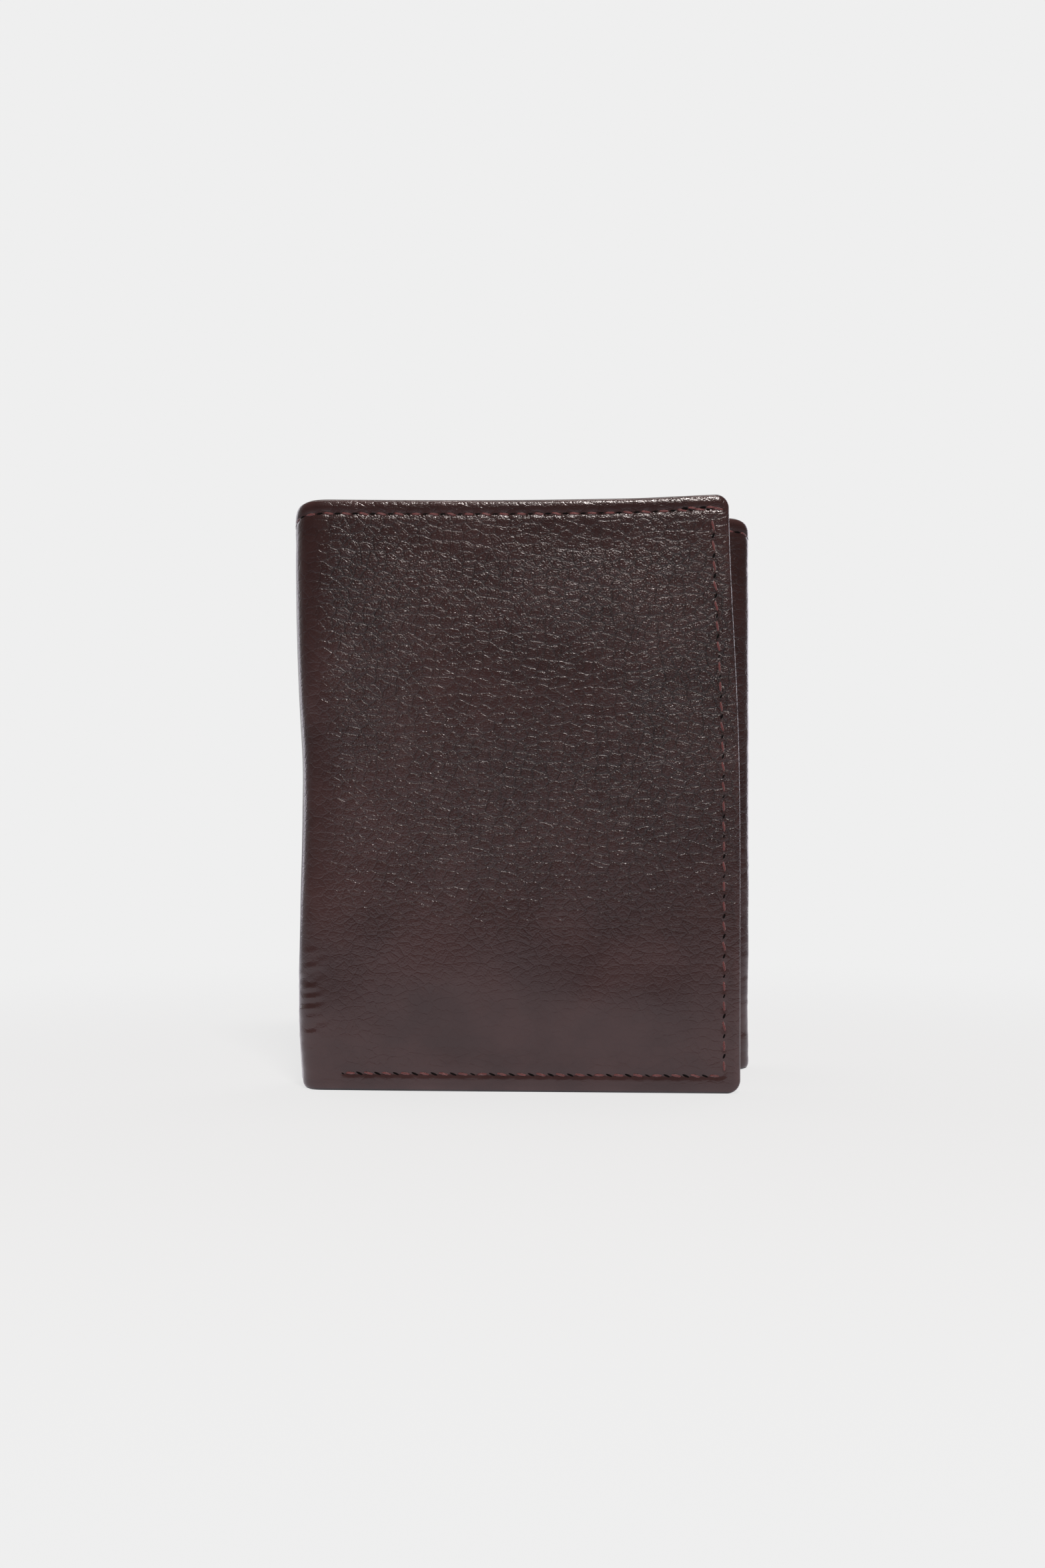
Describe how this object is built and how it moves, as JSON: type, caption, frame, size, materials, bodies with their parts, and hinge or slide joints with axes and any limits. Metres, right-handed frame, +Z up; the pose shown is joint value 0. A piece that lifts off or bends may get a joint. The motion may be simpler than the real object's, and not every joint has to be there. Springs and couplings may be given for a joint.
{
  "type": "trifold wallet",
  "caption": "Leather trifold wallet standing partly open, with two folding flaps, card pockets, an ID window and a banknote compartment.",
  "frame": {"origin": "on the lower edge, under the middle of the standing wallet's box", "axes": "+Z up along the creases; +Y towards the back panel's outer face; -X towards the front flap's fold, the free edge of the front flap pointing to +X and -Y"},
  "size_m": [0.0926, 0.0408, 0.11],
  "materials": {
    "shell_leather": "dark brown pebble-grain leather, semi-gloss",
    "pocket_leather": "dark brown fine-grain pocket leather, satin",
    "lining_cloth": "dark brown ribbed lining cloth",
    "board": "thin paperboard stiffener, hidden",
    "window_film": "clear flexible vinyl film",
    "thread": "maroon bonded sewing thread"
  },
  "bodies": {
    "back_panel": {"back_shell": "shell_leather", "back_board": "board", "back_lining": "lining_cloth", "back_welt": "pocket_leather", "back_divider": "pocket_leather", "id_window_film": "window_film", "id_window_frame": "pocket_leather", "back_hem_thread": "thread", "back_base_thread": "thread", "id_frame_thread": "thread"},
    "front_fold": {"front_fold_shell": "shell_leather", "front_fold_lining": "lining_cloth", "front_fold_divider": "pocket_leather", "front_fold_thread": "thread"},
    "front_lip": {"front_lip_shell": "shell_leather", "front_lip_lining": "lining_cloth", "front_lip_thread": "thread"},
    "front_flap": {"front_shell": "shell_leather", "front_board": "board", "front_lining": "lining_cloth", "front_welts": "pocket_leather", "front_divider": "pocket_leather", "front_pocket_rear": "pocket_leather", "front_pocket_middle": "pocket_leather", "front_pocket_face": "pocket_leather", "front_hem_thread": "thread", "front_edge_thread": "thread", "front_pocket_thread": "thread"},
    "inner_fold": {"inner_fold_shell": "shell_leather", "inner_fold_lining": "lining_cloth", "inner_fold_divider": "pocket_leather", "inner_fold_thread": "thread"},
    "inner_flap": {"inner_shell": "shell_leather", "inner_board": "board", "inner_lining": "lining_cloth", "inner_welts": "pocket_leather", "inner_divider": "pocket_leather", "inner_pocket_rear": "pocket_leather", "inner_pocket_face": "pocket_leather", "inner_hem_thread": "thread", "inner_edge_thread": "thread", "inner_pocket_thread": "thread"}
  },
  "joints": [
    {"name": "front_back_crease", "type": "hinge", "parent": "back_panel", "child": "front_fold", "pos_m": [-0.04315, 0.01925, 0.055], "axis": [0, 0, -1], "range_deg": [0, 80.25]},
    {"name": "front_face_crease", "type": "hinge", "parent": "front_fold", "child": "front_lip", "pos_m": [-0.04519, 0.00742, 0.055], "axis": [0, 0, -1], "range_deg": [0, 80.25]},
    {"name": "front_flap_press", "type": "hinge", "parent": "front_lip", "child": "front_flap", "pos_m": [-0.04283, 0.00659, 0.055], "axis": [0, 0, -1], "range_deg": [-19.5, 0]},
    {"name": "inner_back_crease", "type": "hinge", "parent": "back_panel", "child": "inner_fold", "pos_m": [0.04505, 0.01917, 0.055], "axis": [0, 0, 1], "range_deg": [0, 90]},
    {"name": "inner_face_crease", "type": "hinge", "parent": "inner_fold", "child": "inner_flap", "pos_m": [0.04505, 0.01217, 0.055], "axis": [0, 0, 1], "range_deg": [0, 90]}
  ],
  "couplings": [
    {"joint": "front_face_crease", "follows": "front_back_crease", "ratio": 1},
    {"joint": "inner_back_crease", "follows": "front_back_crease", "ratio": 1.1214},
    {"joint": "inner_face_crease", "follows": "front_back_crease", "ratio": 1.1214}
  ]
}
